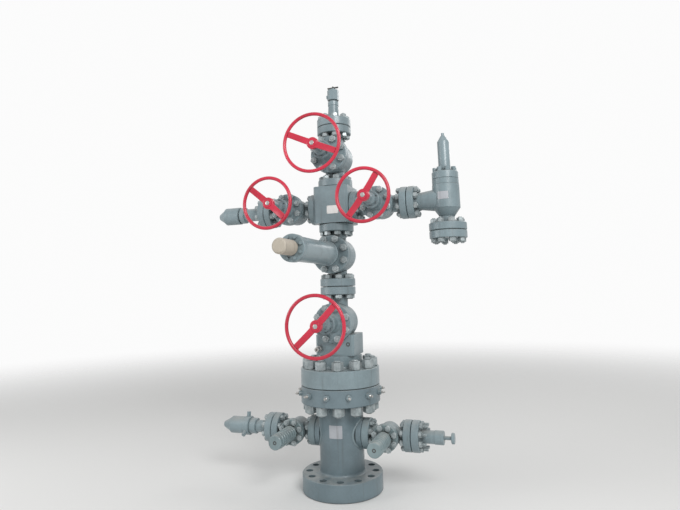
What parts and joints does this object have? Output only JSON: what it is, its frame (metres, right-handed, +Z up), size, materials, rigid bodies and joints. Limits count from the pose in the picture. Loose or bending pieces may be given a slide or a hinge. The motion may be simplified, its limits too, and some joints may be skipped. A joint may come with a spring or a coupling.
{
  "type": "oil wellhead valve stack",
  "caption": "Tall flanged wellhead stack: tubing head with side valves, hand and actuated master valves, cross with wing valves, choke, swab valve and tree cap.",
  "frame": {"origin": "centre of the lower face of the tubing head's bottom flange, on the well axis", "axes": "+Z up along the well bore, +X along the wing run towards the choke, -Y towards the handwheels"},
  "size_m": [2.025, 1.376, 3.058],
  "materials": {
    "grey_paint": "satin grey-green enamel",
    "handwheel_red": "glossy red enamel",
    "bare_steel": "turned",
    "plated_steel": "plated, partly painted",
    "cover_white": "matt",
    "dark_steel": "blackened"
  },
  "bodies": {
    "tree": {"tubing_head_spool": "grey_paint", "adapter_flange": "grey_paint", "lower_master_body": "grey_paint", "lower_master_bonnet": "grey_paint", "upper_master_body": "grey_paint", "upper_master_bonnet": "grey_paint", "actuator_cylinder": "grey_paint", "actuator_end_cap": "grey_paint", "cross_block": "grey_paint", "swab_body": "grey_paint", "swab_bonnet": "grey_paint", "tree_cap": "grey_paint", "needle_valve": "grey_paint", "left_wing_body": "grey_paint", "left_wing_bonnet": "grey_paint", "left_wing_end_plug": "grey_paint", "right_wing_body": "grey_paint", "right_wing_bonnet": "grey_paint", "choke_body": "grey_paint", "choke_spindle_housing": "grey_paint", "choke_outlet_flange": "grey_paint", "left_side_valve_body": "grey_paint", "left_side_valve_bonnet": "grey_paint", "left_side_end_union": "grey_paint", "right_side_valve_body": "grey_paint", "right_side_valve_bonnet": "grey_paint", "right_side_end_plug": "grey_paint", "head_flange_studs": "plated_steel", "run_flange_studs": "plated_steel", "wing_flange_studs": "plated_steel", "side_flange_studs": "plated_steel", "bonnet_studs": "plated_steel", "lock_down_screws": "plated_steel", "actuator_rod_cover": "cover_white"},
    "lower_master_wheel": {"lower_master_stem": "bare_steel", "lower_master_handwheel": "handwheel_red"},
    "swab_wheel": {"swab_stem": "bare_steel", "swab_handwheel": "handwheel_red"},
    "left_wing_wheel": {"left_wing_stem": "bare_steel", "left_wing_handwheel": "handwheel_red"},
    "right_wing_wheel": {"right_wing_stem": "bare_steel", "right_wing_handwheel": "handwheel_red"},
    "needle_handle": {"needle_handle": "dark_steel"}
  },
  "joints": [
    {"name": "lower_master_turn", "type": "hinge", "parent": "tree", "child": "lower_master_wheel", "pos_m": [0, -0.491, 1.182], "axis": [0, -1, 0], "continuous": true},
    {"name": "swab_turn", "type": "hinge", "parent": "tree", "child": "swab_wheel", "pos_m": [0, -0.491, 2.4585], "axis": [0, -1, 0], "continuous": true},
    {"name": "left_wing_turn", "type": "hinge", "parent": "tree", "child": "left_wing_wheel", "pos_m": [-0.358, -0.477, 2.055], "axis": [0, -1, 0], "continuous": true},
    {"name": "right_wing_turn", "type": "hinge", "parent": "tree", "child": "right_wing_wheel", "pos_m": [0.358, -0.477, 2.055], "axis": [0, -1, 0], "continuous": true},
    {"name": "needle_turn", "type": "hinge", "parent": "tree", "child": "needle_handle", "pos_m": [0, 0, 3.022], "axis": [0, 0, 1], "continuous": true}
  ]
}
